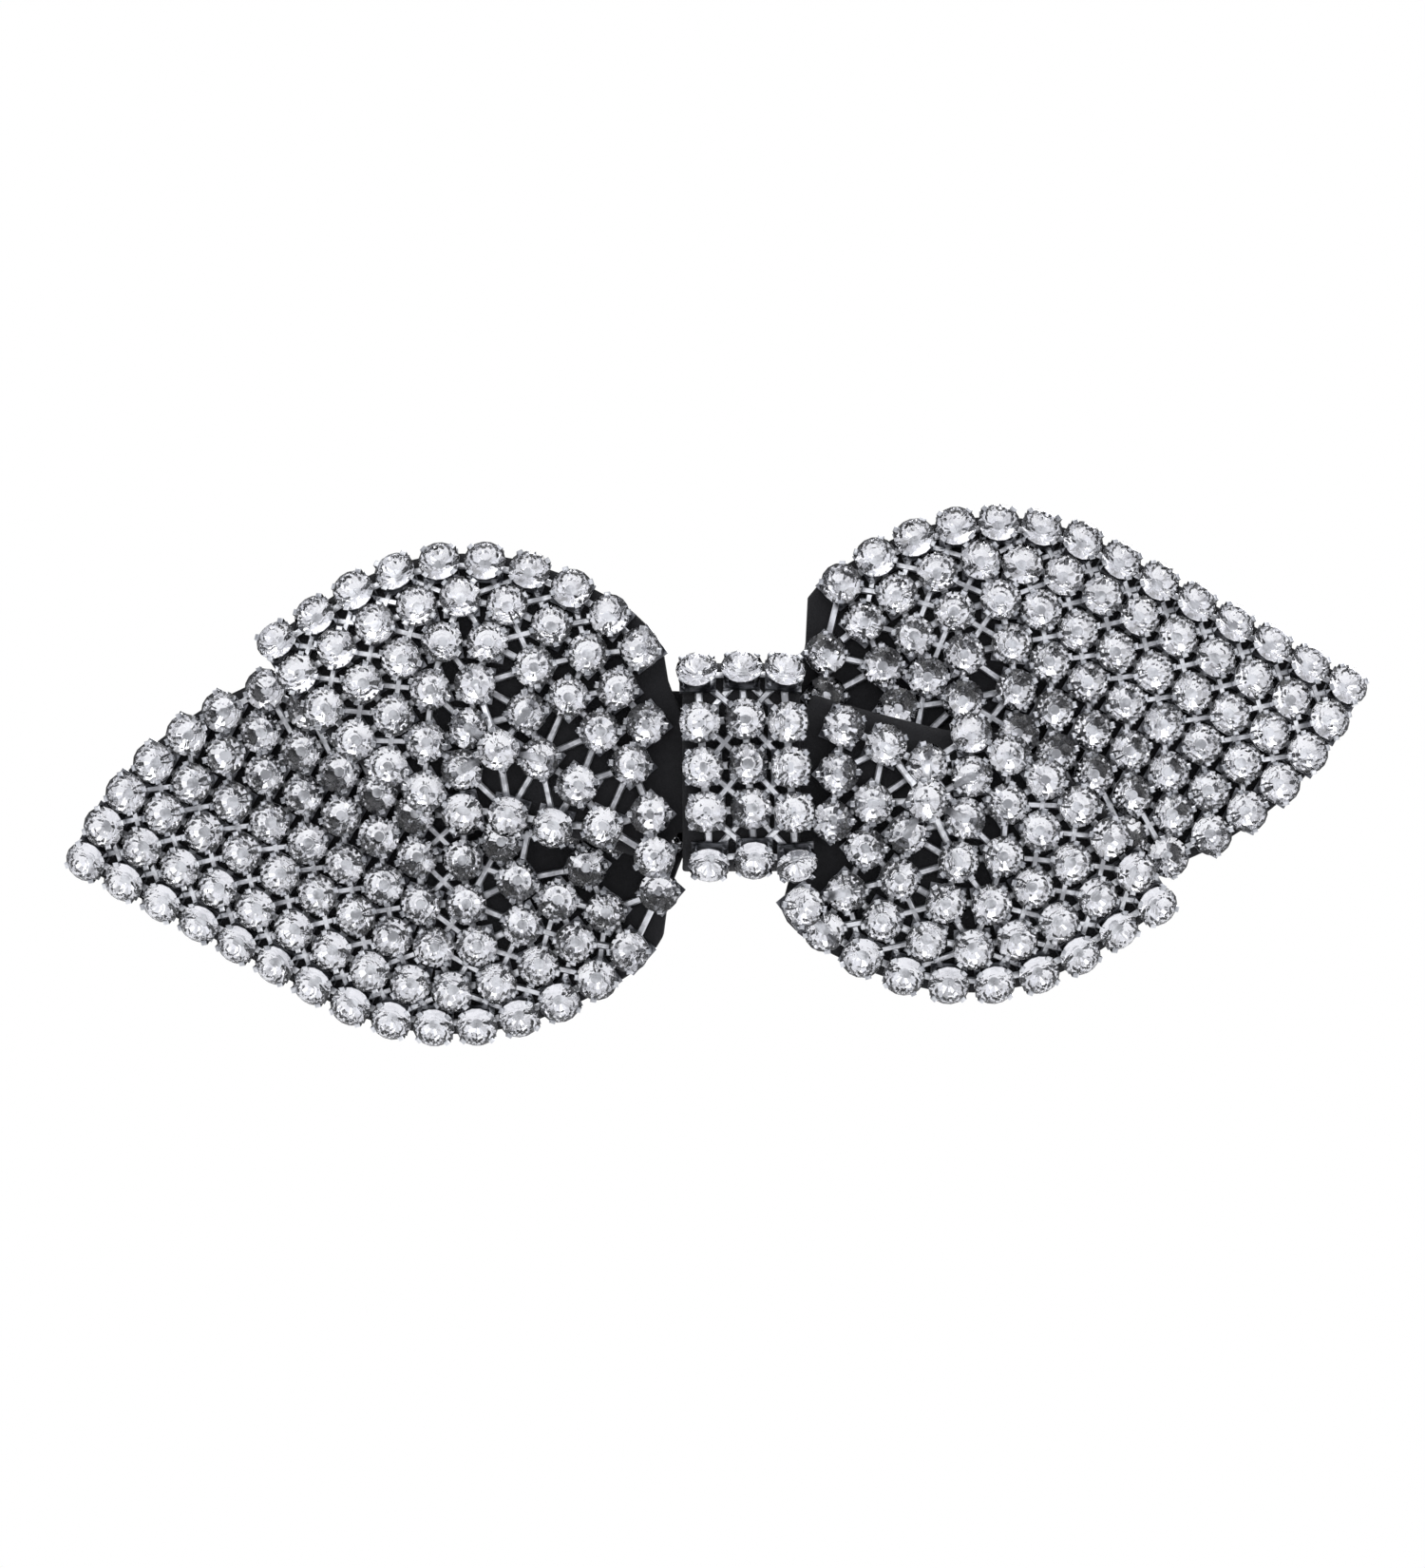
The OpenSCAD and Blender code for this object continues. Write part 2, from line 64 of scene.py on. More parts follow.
class Tree:
    """A thin wrapper that adds and links shader nodes."""

    def __init__(self, tree: bpy.types.NodeTree) -> None:
        """Keeps the tree and clears it."""
        self.tree = tree
        tree.nodes.clear()

    def add(self, kind: str, **values: object) -> bpy.types.Node:
        """Adds a node.

        Args:
            kind: the node's class name, without the ShaderNode prefix unless it is a group node.
            values: node attributes, or inputs written with a leading capital and _ for spaces.

        Returns:
            The new node.
        """
        name = kind if kind.startswith("NodeGroup") else "ShaderNode" + kind
        node = self.tree.nodes.new(name)
        for key, value in values.items():
            if key[0].isupper():
                node.inputs[key.replace("_", " ")].default_value = value
            else:
                setattr(node, key, value)
        return node

    def link(self, source: bpy.types.NodeSocket, target: bpy.types.NodeSocket) -> None:
        """Links two sockets."""
        self.tree.links.new(source, target)

    def mix(self, factor: object, a: object, b: object) -> bpy.types.NodeSocket:
        """Mixes two colours.

        Args:
            factor: a socket or a number.
            a: the colour at factor 0, a socket or a tuple.
            b: the colour at factor 1, a socket or a tuple.

        Returns:
            The mixed colour's socket.
        """
        node = self.add("Mix", data_type="RGBA")
        for index, value in ((0, factor), (6, a), (7, b)):
            if isinstance(value, bpy.types.NodeSocket):
                self.link(value, node.inputs[index])
            else:
                node.inputs[index].default_value = value
        return node.outputs[2]

    def remap(self, source: bpy.types.NodeSocket, low: float, high: float) -> bpy.types.NodeSocket:
        """Maps 0..1 to low..high and returns the socket."""
        node = self.add("MapRange", To_Min=low, To_Max=high)
        self.link(source, node.inputs["Value"])
        return node.outputs["Result"]


def make_group(name: str, inputs: dict[str, float], outputs: dict[str, str],
               fill: Callable[[Tree, bpy.types.Node, bpy.types.Node], None]) -> bpy.types.NodeTree:
    """Makes a shader node group once.

    Args:
        name: the group's name.
        inputs: float inputs and their defaults.
        outputs: output names and their socket types.
        fill: adds the inner nodes, given the tree and the group's input and output nodes.

    Returns:
        The group.
    """
    if name in bpy.data.node_groups:
        return bpy.data.node_groups[name]
    group = bpy.data.node_groups.new(name, "ShaderNodeTree")
    for key, value in inputs.items():
        socket = group.interface.new_socket(key, in_out="INPUT", socket_type="NodeSocketFloat")
        socket.default_value = value
    for key, kind in outputs.items():
        group.interface.new_socket(key, in_out="OUTPUT", socket_type=kind)
    tree = Tree(group)
    fill(tree, tree.add("NodeGroupInput"), tree.add("NodeGroupOutput"))
    return group


def grain_group() -> bpy.types.NodeTree:
    """Fine drawn grain along X with a few deeper scratches, as a mask and a normal."""

    def fill(tree: Tree, inp: bpy.types.Node, out: bpy.types.Node) -> None:
        """Adds the stretched noise and the bump."""
        coord = tree.add("TexCoord")
        stretch = tree.add("Mapping")
        stretch.inputs["Scale"].default_value = (60.0, 1400.0, 1400.0)
        tree.link(coord.outputs["Object"], stretch.inputs["Vector"])
        fine = tree.add("TexNoise", Scale=6.0, Detail=4.0, Roughness=0.6)
        tree.link(stretch.outputs["Vector"], fine.inputs["Vector"])
        broad = tree.add("TexNoise", Scale=260.0, Detail=3.0)
        tree.link(coord.outputs["Object"], broad.inputs["Vector"])
        total = tree.add("Math", operation="MULTIPLY")
        tree.link(fine.outputs["Fac"], total.inputs[0])
        tree.link(inp.outputs["Amount"], total.inputs[1])
        bump = tree.add("Bump", Distance=0.00006)
        tree.link(total.outputs[0], bump.inputs["Height"])
        tree.link(inp.outputs["Amount"], bump.inputs["Strength"])
        tree.link(fine.outputs["Fac"], out.inputs["Grain"])
        tree.link(broad.outputs["Fac"], out.inputs["Cloud"])
        tree.link(bump.outputs["Normal"], out.inputs["Normal"])

    return make_group("drawn_grain", {"Amount": 0.3},
                      {"Grain": "NodeSocketFloat", "Cloud": "NodeSocketFloat",
                       "Normal": "NodeSocketVector"}, fill)


def fibre_group() -> bpy.types.NodeTree:
    """Matted felt fibres, as a mask, a slow blotch and a normal."""

    def fill(tree: Tree, inp: bpy.types.Node, out: bpy.types.Node) -> None:
        """Adds warped noise for the fibres."""
        coord = tree.add("TexCoord")
        warp = tree.add("TexNoise", Scale=900.0, Detail=2.0, Distortion=1.5)
        tree.link(coord.outputs["Object"], warp.inputs["Vector"])
        hair = tree.add("TexNoise", Scale=3200.0, Detail=3.0, Roughness=0.7, Distortion=3.0)
        tree.link(coord.outputs["Object"], hair.inputs["Vector"])
        both = tree.add("Math", operation="MULTIPLY_ADD")
        tree.link(warp.outputs["Fac"], both.inputs[0])
        both.inputs[1].default_value = 0.6
        tree.link(hair.outputs["Fac"], both.inputs[2])
        bump = tree.add("Bump", Distance=0.00025)
        tree.link(both.outputs[0], bump.inputs["Height"])
        tree.link(inp.outputs["Amount"], bump.inputs["Strength"])
        tree.link(hair.outputs["Fac"], out.inputs["Fibre"])
        tree.link(warp.outputs["Fac"], out.inputs["Blotch"])
        tree.link(bump.outputs["Normal"], out.inputs["Normal"])

    return make_group("felt_fibre", {"Amount": 0.7},
                      {"Fibre": "NodeSocketFloat", "Blotch": "NodeSocketFloat",
                       "Normal": "NodeSocketVector"}, fill)


# ---------------------------------------------------------------- finishes


def new_material(name: str) -> tuple[bpy.types.Material, Tree, bpy.types.Node]:
    """Makes an empty node material.

    Args:
        name: the material's name.

    Returns:
        The material, its tree and its Principled node.
    """
    material = bpy.data.materials.new(name)
    material.use_nodes = True
    tree = Tree(material.node_tree)
    shader = tree.add("BsdfPrincipled")
    out = tree.add("OutputMaterial")
    tree.link(shader.outputs["BSDF"], out.inputs["Surface"])
    return material, tree, shader


@dataclass(frozen=True)
class SteelFinish:
    """Plated steel with a drawn grain."""

    name: str
    colour: tuple[float, float, float]
    worn: tuple[float, float, float]
    rough: float
    grain: float

    def build(self) -> bpy.types.Material:
        """Builds the material."""
        material, tree, shader = new_material(self.name)
        grain = tree.add("Group", node_tree=grain_group(), Amount=self.grain)
        shader.inputs["Metallic"].default_value = 1.0
        tone = tree.mix(tree.remap(grain.outputs["Cloud"], -0.3, 1.1), (*self.colour, 1.0),
                        (*self.worn, 1.0))
        tree.link(tone, shader.inputs["Base Color"])
        tree.link(tree.remap(grain.outputs["Grain"], self.rough * 0.6, self.rough * 1.5),
                  shader.inputs["Roughness"])
        tree.link(grain.outputs["Normal"], shader.inputs["Normal"])
        return material


@dataclass(frozen=True)
class CupFinish:
    """Silver plate on the stamped cups, darker where the plate is thin; a dark copy of it is painted shade
    between the stones.
    """

    name: str
    bright: tuple[float, float, float]
    dark: tuple[float, float, float]
    rough: float

    def build(self) -> bpy.types.Material:
        """Builds the material."""
        material, tree, shader = new_material(self.name)
        coord = tree.add("TexCoord")
        spots = tree.add("TexNoise", Scale=700.0, Detail=3.0, Roughness=0.6)
        tree.link(coord.outputs["Object"], spots.inputs["Vector"])
        ramp = tree.add("MapRange", From_Min=0.42, From_Max=0.6)
        tree.link(spots.outputs["Fac"], ramp.inputs["Value"])
        shader.inputs["Metallic"].default_value = 1.0
        tree.link(tree.mix(ramp.outputs["Result"], (*self.bright, 1.0), (*self.dark, 1.0)),
                  shader.inputs["Base Color"])
        tree.link(tree.remap(spots.outputs["Fac"], self.rough * 0.6, self.rough * 1.6),
                  shader.inputs["Roughness"])
        bump = tree.add("Bump", Strength=0.15, Distance=0.00004)
        tree.link(spots.outputs["Fac"], bump.inputs["Height"])
        tree.link(bump.outputs["Normal"], shader.inputs["Normal"])
        return material


@dataclass(frozen=True)
class CrystalFinish:
    """Clear cut lead glass, with faint hand-made variation."""

    name: str
    tint: tuple[float, float, float]
    ior: float

    def build(self) -> bpy.types.Material:
        """Builds the material."""
        material, tree, shader = new_material(self.name)
        coord = tree.add("TexCoord")
        drift = tree.add("TexNoise", Scale=160.0, Detail=1.0)
        tree.link(coord.outputs["Object"], drift.inputs["Vector"])
        tone = tree.mix(drift.outputs["Fac"], (*self.tint, 1.0), (1.0, 1.0, 1.0, 1.0))
        tree.link(tone, shader.inputs["Base Color"])
        shader.inputs["Roughness"].default_value = 0.0
        shader.inputs["Transmission Weight"].default_value = 1.0
        shader.inputs["IOR"].default_value = self.ior
        return material


@dataclass(frozen=True)
class FoilFinish:
    """Silver foil painted on the back facets of a stone."""

    name: str
    silver: tuple[float, float, float]
    lacquer: tuple[float, float, float]

    def build(self) -> bpy.types.Material:
        """Builds the material."""
        material, tree, shader = new_material(self.name)
        coord = tree.add("TexCoord")
        blotch = tree.add("TexNoise", Scale=900.0, Detail=3.0)
        tree.link(coord.outputs["Object"], blotch.inputs["Vector"])
        thin = tree.add("MapRange", From_Min=0.5, From_Max=0.72)
        tree.link(blotch.outputs["Fac"], thin.inputs["Value"])
        tree.link(tree.mix(thin.outputs["Result"], (*self.silver, 1.0), (*self.lacquer, 1.0)),
                  shader.inputs["Base Color"])
        shader.inputs["Metallic"].default_value = 1.0
        tree.link(tree.remap(blotch.outputs["Fac"], 0.0, 0.12), shader.inputs["Roughness"])
        return material


@dataclass(frozen=True)
class FeltFinish:
    """Pressed felt."""

    name: str
    dark: tuple[float, float, float]
    light: tuple[float, float, float]

    def build(self) -> bpy.types.Material:
        """Builds the material."""
        material, tree, shader = new_material(self.name)
        fibre = tree.add("Group", node_tree=fibre_group(), Amount=0.8)
        tone = tree.mix(tree.remap(fibre.outputs["Fibre"], -0.4, 1.4), (*self.dark, 1.0),
                        (*self.light, 1.0))
        tree.link(tone, shader.inputs["Base Color"])
        tree.link(tree.remap(fibre.outputs["Blotch"], 0.85, 1.0), shader.inputs["Roughness"])
        tree.link(fibre.outputs["Normal"], shader.inputs["Normal"])
        shader.inputs["Sheen Weight"].default_value = 0.06
        shader.inputs["Sheen Roughness"].default_value = 0.5
        return material


PLATE = SteelFinish("plate_steel", (0.62, 0.62, 0.63), (0.5, 0.5, 0.5), 0.24, 0.35)
BAR = SteelFinish("bar_steel", (0.68, 0.68, 0.69), (0.55, 0.55, 0.55), 0.2, 0.3)
SPRING = SteelFinish("spring_steel", (0.55, 0.56, 0.58), (0.42, 0.42, 0.44), 0.26, 0.45)
RIVET = SteelFinish("rivet_steel", (0.74, 0.74, 0.75), (0.6, 0.6, 0.6), 0.12, 0.1)
CUP = CupFinish("cup_metal", (0.78, 0.79, 0.81), (0.4, 0.41, 0.43), 0.16)
# Painted shade: a dark copy of the cup metal on the cup bodies and flanges stands in for the shade between
# the stones. The prongs keep the bright cup_metal.
PAINTED_CUP_SHADE = CupFinish("cup_painted_shade", (0.3, 0.305, 0.32), (0.07, 0.072, 0.08), 0.3)
NET = CupFinish("net_wire", (0.85, 0.86, 0.88), (0.4, 0.405, 0.42), 0.3)
CRYSTAL = CrystalFinish("crystal", (0.985, 0.985, 0.99), 1.5)
FOIL = FoilFinish("stone_foil", (0.96, 0.96, 0.97), (0.74, 0.74, 0.76))
FELT = FeltFinish("backing_felt", (0.006, 0.006, 0.007), (0.022, 0.022, 0.025))
PAD = FeltFinish("pad_felt", (0.012, 0.012, 0.013), (0.04, 0.04, 0.044))
THREAD = FeltFinish("thread", (0.02, 0.02, 0.022), (0.1, 0.1, 0.11))


def dress(node: str, material: bpy.types.Material) -> None:
    """Gives a CAD node its finish."""
    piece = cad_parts[node]
    piece.data.materials.clear()
    piece.data.materials.append(material)


# ---------------------------------------------------------------- seats


@dataclass
class Seat:
    """Where one stone sits: the middle of its cup's foot, its axes, and its own turn."""

    foot: Vector
    along: Vector
    out: Vector

    def matrix(self, turn: float = 0.0) -> Matrix:
        """The placement of a template standing on z = 0, turned about its own axis."""
        across = self.out.cross(self.along)
        basis = Matrix((self.along, across, self.out)).transposed().to_4x4()
        return Matrix.Translation(self.foot) @ basis @ Matrix.Rotation(turn, 4, "Z")


def islands(node: str) -> list[np.ndarray]:
    """The corner points of each separate solid in a CAD node.

    Args:
        node: the node's name.

    Returns:
        One array of points for each solid.
    """
    mesh = bmesh.new()
    mesh.from_mesh(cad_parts[node].data)
    bmesh.ops.remove_doubles(mesh, verts=mesh.verts, dist=1e-6)
    mesh.verts.ensure_lookup_table()
    seen: set[int] = set()
    found = []
    for start in mesh.verts:
        if start.index in seen:
            continue
        seen.add(start.index)
        queue, members = [start], []
        while queue:
            vert = queue.pop()
            members.append(vert.co[:])
            for edge in vert.link_edges:
                other = edge.other_vert(vert)
                if other.index not in seen:
                    seen.add(other.index)
                    queue.append(other)
        found.append(np.array(members))
    mesh.free()
    return found


def find_seats(stones: str, cups: str) -> list[Seat]:
    """Reads where each stone sits from the CAD solids.

    Args:
        stones: the node of turned stones.
        cups: the node of square cups under them.

    Returns:
        A seat for each stone.
    """
    corners = np.concatenate(islands(cups))
    seats = []
    for points in islands(stones):
        middle = points.mean(0)
        values, vectors = np.linalg.eigh(np.cov((points - middle).T))
        out = vectors[:, 0]
        out = out if out[1] < 0 else -out
        top = ((points - middle) @ out).max()
        foot = middle + out * (top - 2.1 * MM)
        near = corners[np.linalg.norm(corners - middle, axis=1) < 3.2 * MM] - foot
        height = near @ out
        flat = near - np.outer(height, out)
        reach = np.linalg.norm(flat, axis=1)
        tips = flat[(height > 1.6 * MM) & (height < 1.95 * MM) & (reach > 1.75 * MM)
                    & (reach < 2.3 * MM)]
        side = Vector(out).orthogonal().normalized()
        other = Vector(out).cross(side)
        if len(tips):
            angle = np.arctan2(tips @ np.array(other), tips @ np.array(side))
            turn = np.angle(np.exp(4j * angle).mean()) / 4 - math.pi / 4
        else:
            turn = 0.0
        along = side * math.cos(turn) + other * math.sin(turn)
        seats.append(Seat(Vector(foot), along, Vector(out)))
    return seats


# ---------------------------------------------------------------- stone and cup templates


@dataclass
class StoneShape:
    """A round chaton: sixteen crown facets round a small table, over a foiled cone."""

    radius: float = 1.81 * MM
    table: float = 0.66 * MM
    star: float = 1.28 * MM
    rim_low: float = 1.3 * MM
    rim_high: float = 1.4 * MM
    star_z: float = 1.86 * MM
    table_z: float = 2.09 * MM
    culet_z: float = 0.27 * MM

    def build(self) -> bpy.types.Mesh:
        """Hulls rings of corners into the facets.

        Returns:
            The template mesh: crown in slot 0, foiled back in slot 1.
        """
        mesh = bmesh.new()
        rings = (
            (8, self.table, self.table_z, 0.0),
            (16, self.star, self.star_z, math.pi / 16),
            (16, self.radius, self.rim_high, 0.0),
            (16, self.radius, self.rim_low, 0.0),
            (16, 0.98 * MM, 0.8 * MM, math.pi / 16),
            (8, 0.05 * MM, self.culet_z, 0.0),
        )
        for count, radius, height, turn in rings:
            place = Matrix.Translation((0, 0, height)) @ Matrix.Rotation(turn, 4, "Z")
            bmesh.ops.create_circle(mesh, segments=count, radius=radius, matrix=place)
        bmesh.ops.convex_hull(mesh, input=mesh.verts)
        bmesh.ops.dissolve_limit(mesh, angle_limit=math.radians(1.0), verts=mesh.verts,
                                 edges=mesh.edges)
        bmesh.ops.recalc_face_normals(mesh, faces=mesh.faces)
        for face in mesh.faces:
            face.material_index = 1 if face.normal.z < -0.1 else 0
            face.smooth = False
        out = bpy.data.meshes.new("stone_template")
        mesh.to_mesh(out)
        mesh.free()
        return out


@dataclass
class CupShape:
    """A stamped square cup that narrows to its foot, with four prongs bent over the stone."""

    foot: float = 2.7 * MM
    mouth: float = 3.04 * MM
    flange: float = 3.14 * MM
    height: float = 0.86 * MM
    prong: float = 0.42 * MM
    tip_z: float = 1.66 * MM

    def build(self) -> bpy.types.Mesh:
        """Shapes the cup from a cube and adds the prongs.

        Returns:
            The template mesh.
        """
        mesh = bmesh.new()
        shift = Matrix.Translation((0, 0, self.height / 2 + 0.02 * MM))
        size = Matrix.Diagonal((self.mouth, self.mouth, self.height, 1.0))
        bmesh.ops.create_cube(mesh, size=1.0, matrix=shift @ size)
        low = [v for v in mesh.verts if v.co.z < self.height / 2]
        bmesh.ops.scale(mesh, vec=(self.foot / self.mouth,) * 2 + (1.0,), verts=low)
        upright = [e for e in mesh.edges if abs(e.verts[0].co.z - e.verts[1].co.z) > 0.5 * self.height]
        bmesh.ops.bevel(mesh, geom=upright, offset=0.4 * MM, offset_type="OFFSET", segments=1,
                        profile=0.5, affect="EDGES", material=-1)
        top = max(mesh.faces, key=lambda f: f.calc_center_median().z)
        bmesh.ops.inset_individual(mesh, faces=[top], thickness=0.16 * MM)
        pocket = bmesh.ops.extrude_discrete_faces(mesh, faces=[top])["faces"][0]
        bmesh.ops.translate(mesh, vec=(0, 0, -0.55 * MM), verts=pocket.verts)
        bmesh.ops.scale(mesh, vec=(0.45, 0.45, 1.0), verts=pocket.verts)
        size = Matrix.Diagonal((self.flange, self.flange, 0.22 * MM, 1.0))
        bmesh.ops.create_cube(mesh, size=1.0, matrix=Matrix.Translation((0, 0, 0.14 * MM)) @ size)
        # Painted shade: the cup body and flange take slot 1, the dark copy of the cup metal; the prongs
        # added next stay in slot 0, the bright metal.
        for face in mesh.faces:
            face.material_index = 1
        self.add_prongs(mesh)
        bmesh.ops.recalc_face_normals(mesh, faces=mesh.faces)
        out = bpy.data.meshes.new("cup_template")
        mesh.to_mesh(out)
        mesh.free()
        return out

    def add_prongs(self, mesh: bmesh.types.BMesh) -> None:
        """Adds four tapered prongs, each bent in over the stone's girdle."""
        low = self.height * 0.55
        for k in range(4):
            turn = Matrix.Rotation(math.pi / 4 + math.pi / 2 * k, 4, "Z")
            size = Matrix.Diagonal((self.prong, self.prong * 1.25, self.tip_z - low, 1.0))
            place = turn @ Matrix.Translation((1.84 * MM, 0, (low + self.tip_z) / 2)) @ size
            verts = bmesh.ops.create_cube(mesh, size=1.0, matrix=place)["verts"]
            tips = [v for v in verts if v.co.z > (low + self.tip_z) / 2]
            roots = [v for v in verts if v not in tips]
            bmesh.ops.translate(mesh, vec=turn @ Vector((-0.08 * MM, 0, 0)), verts=tips)
            bmesh.ops.translate(mesh, vec=turn @ Vector((-0.22 * MM, 0, 0)), verts=roots)
            edges = list({e for v in tips for e in v.link_edges if all(w in tips for w in e.verts)})
            bmesh.ops.bevel(mesh, geom=edges, offset=0.1 * MM, offset_type="OFFSET", segments=1,
                            profile=0.5, affect="EDGES", material=-1)


def plant(name: str, template: bpy.types.Mesh, places: Iterable[Matrix]) -> bpy.types.Object:
    """Copies a template to many places in one mesh.

    Args:
        name: the new object's name.
        template: the mesh to copy.
        places: a placement for each copy.

    Returns:
        The new object.
    """
    mesh = bmesh.new()
    for place in places:
        before = len(mesh.verts)
        mesh.from_mesh(template)
        mesh.verts.ensure_lookup_table()
        bmesh.ops.transform(mesh, matrix=place, verts=mesh.verts[before:])
    data = bpy.data.meshes.new(name)
    mesh.to_mesh(data)
    mesh.free()
    piece = bpy.data.objects.new(name, data)
    bpy.context.scene.collection.objects.link(piece)
    return piece


def net_wires(seats: list[Seat], reach: float, lift: float) -> list[Matrix]:
    """Placements for the wires that tie neighbouring cups together.

    Args:
        seats: the cups.
        reach: the longest wire.
        lift: how far above the cups' feet the wires run.

    Returns:
        A placement for each wire, whose template is one long along X.
    """
    places = []
    for i, one in enumerate(seats):
        for two in seats[i + 1:]:
            span = two.foot - one.foot
            if span.length > reach or one.out.dot(two.out) < 0.6:
                continue
            out = (one.out + two.out).normalized()
            along = span.normalized()
            across = out.cross(along).normalized()
            basis = Matrix((along, across, along.cross(across))).transposed().to_4x4()
            middle = (one.foot + two.foot) / 2 + out * lift
            places.append(Matrix.Translation(middle) @ basis
                          @ Matrix.Diagonal((span.length, 1.0, 1.0, 1.0)))
    return places


def wire_template(width: float, thick: float) -> bpy.types.Mesh:
    """A flattened wire of length one along X, its long edges rounded."""
    mesh = bmesh.new()
    size = Matrix.Diagonal((1.0, width, thick, 1.0))
    bmesh.ops.create_cube(mesh, size=1.0, matrix=size)
    long_edges = [e for e in mesh.edges if abs(e.verts[0].co.x - e.verts[1].co.x) > 0.5]
    bmesh.ops.bevel(mesh, geom=long_edges, offset=thick * 0.4, offset_type="OFFSET", segments=1,
                    profile=0.5, affect="EDGES", material=-1)
    out = bpy.data.meshes.new("wire_template")
    mesh.to_mesh(out)
    mesh.free()
    return out


# ---------------------------------------------------------------- sub-assemblies


@dataclass
class StoneField:
    """The cups and stones of one leaf, petal or knot."""

    part: str
    seed: int
    wire: float = 0.62 * MM
    wire_reach: float = 6.2 * MM
    cup_shape: CupShape = field(default_factory=CupShape)
    stone_shape: StoneShape = field(default_factory=StoneShape)

    def build(self, finishes: dict[str, bpy.types.Material]) -> list[bpy.types.Object]:
        """Builds the cups and stones in the CAD's places.

        Args:
            finishes: materials by finish name.

        Returns:
            The two pieces.
        """
        seats = find_seats(self.part + "_stones", self.part + "_cups")
        chance = np.random.default_rng(self.seed)
        cups = plant(self.part + "_settings", self.cup_shape.build(), [s.matrix() for s in seats])
        wires = plant(self.part + "_netting", wire_template(self.wire, 0.3 * MM),
                      net_wires(seats, self.wire_reach, 0.35 * MM))
        wires.data.materials.append(finishes["net_wire"])
        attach(wires, Body.CLIP.value)
        places = []
        for seat in seats:
            lean = Matrix.Rotation(chance.normal(0, 0.035), 4, "X") @ Matrix.Rotation(
                chance.normal(0, 0.035), 4, "Y")
            rise = Matrix.Translation((0, 0, 1.36 * MM))
            places.append(seat.matrix(chance.uniform(0, math.pi / 4)) @ rise @ lean @ rise.inverted())
        stones = plant(self.part + "_chatons", self.stone_shape.build(), places)
        cups.data.materials.append(finishes["cup_metal"])
        # Slot 1 is painted shade: the dark copy of the cup metal on the cup bodies and flanges.
        cups.data.materials.append(finishes["cup_painted_shade"])
        stones.data.materials.append(finishes["crystal"])
        stones.data.materials.append(finishes["stone_foil"])
        for piece, node, slot in ((cups, "_cups", "cup_metal"), (stones, "_stones", "crystal")):
            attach(piece, Body.CLIP.value)
            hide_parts(self.part + node)
        return [cups, stones, wires]


@dataclass
class Barrette:
    """The sprung French barrette behind the bow. Its CAD shapes are kept."""

    finishes: tuple[tuple[str, str], ...] = (
        ("barrette_plate", "plate_steel"),
        ("tension_leaf", "spring_steel"),
        ("hinge_rivet", "rivet_steel"),
        ("closing_bar", "bar_steel"),
        ("latch_foot", "spring_steel"),
        ("latch_rivet", "rivet_steel"),
        ("latch_prong_upper", "spring_steel"),
        ("latch_prong_lower", "spring_steel"),
    )

    def build(self, finishes: dict[str, bpy.types.Material]) -> list[bpy.types.Object]:
        """Dresses each steel node."""
        for node, finish in self.finishes:
            dress(node, finishes[finish])
        return [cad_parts[node] for node, _ in self.finishes]


def merged_copy(node: str) -> bmesh.types.BMesh:
    """A CAD node's shape with its corners joined, to be worked on."""
    mesh = bmesh.new()
    mesh.from_mesh(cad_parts[node].data)
    bmesh.ops.remove_doubles(mesh, verts=mesh.verts, dist=1e-6)
    return mesh


def settle(mesh: bmesh.types.BMesh, name: str, material: bpy.types.Material) -> bpy.types.Object:
    """Turns a finished bmesh into a smooth-shaded piece that rides on the clip.

    Args:
        mesh: the bmesh, which is freed.
        name: the piece's name.
        material: its material.

    Returns:
        The piece.
    """
    for face in mesh.faces:
        face.smooth = True
    data = bpy.data.meshes.new(name)
    mesh.to_mesh(data)
    mesh.free()
    data.materials.append(material)
    piece = bpy.data.objects.new(name, data)
    bpy.context.scene.collection.objects.link(piece)
    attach(piece, Body.CLIP.value)
    return piece


def voxel(mesh: bmesh.types.BMesh, size: float) -> bmesh.types.BMesh:
    """Rebuilds a closed shape with even small faces.

    Args:
        mesh: the shape, which is freed.
        size: the face size.

    Returns:
        The rebuilt shape.
    """
    data = bpy.data.meshes.new("voxel")
    mesh.to_mesh(data)
    mesh.free()
    holder = bpy.data.objects.new("voxel", data)
    bpy.context.scene.collection.objects.link(holder)
    remesh = holder.modifiers.new("remesh", "REMESH")
    remesh.mode = "VOXEL"
    remesh.voxel_size = size
    graph = bpy.context.evaluated_depsgraph_get()
    out = bmesh.new()
    out.from_mesh(holder.evaluated_get(graph).to_mesh())
    bpy.data.objects.remove(holder)
    bpy.data.meshes.remove(data)
    return out


def ruffle(mesh: bmesh.types.BMesh, fine: float, broad: float) -> None:
    """Pushes the surface in and out a little, as matted fibre lies.

    Args:
        mesh: the shape.
        fine: the height of the small bumps.
        broad: the height of the slow swells.
    """
    mesh.normal_update()
    for vert in mesh.verts:
        lift = broad * noise.noise(vert.co * 260) + fine * noise.noise(vert.co * 1500)
        vert.co += vert.normal * (lift - 0.5 * (fine + broad))


@dataclass
class FeltRibbon:
    """A sheet of black felt behind one ribbon of stones, gathered at the waist."""

    node: str
    width: float
    fullness: float = 0.8

    def build(self, finishes: dict[str, bpy.types.Material]) -> list[bpy.types.Object]:
        """Divides the CAD sheet finely and mats its surface."""
        mesh = merged_copy(self.node)
        bmesh.ops.subdivide_edges(mesh, edges=mesh.edges, cuts=1, use_grid_fill=True)
        bmesh.ops.smooth_vert(mesh, verts=mesh.verts, factor=0.3, use_axis_x=True, use_axis_y=True,
                              use_axis_z=True)
        ruffle(mesh, 0.03 * MM, 0.05 * MM)
        area = sum(face.calc_area() for face in mesh.faces) / 2
        piece = settle(mesh, self.node.replace("_backing", "_felt"), finishes["backing_felt"])
        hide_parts(self.node)
        return [piece]


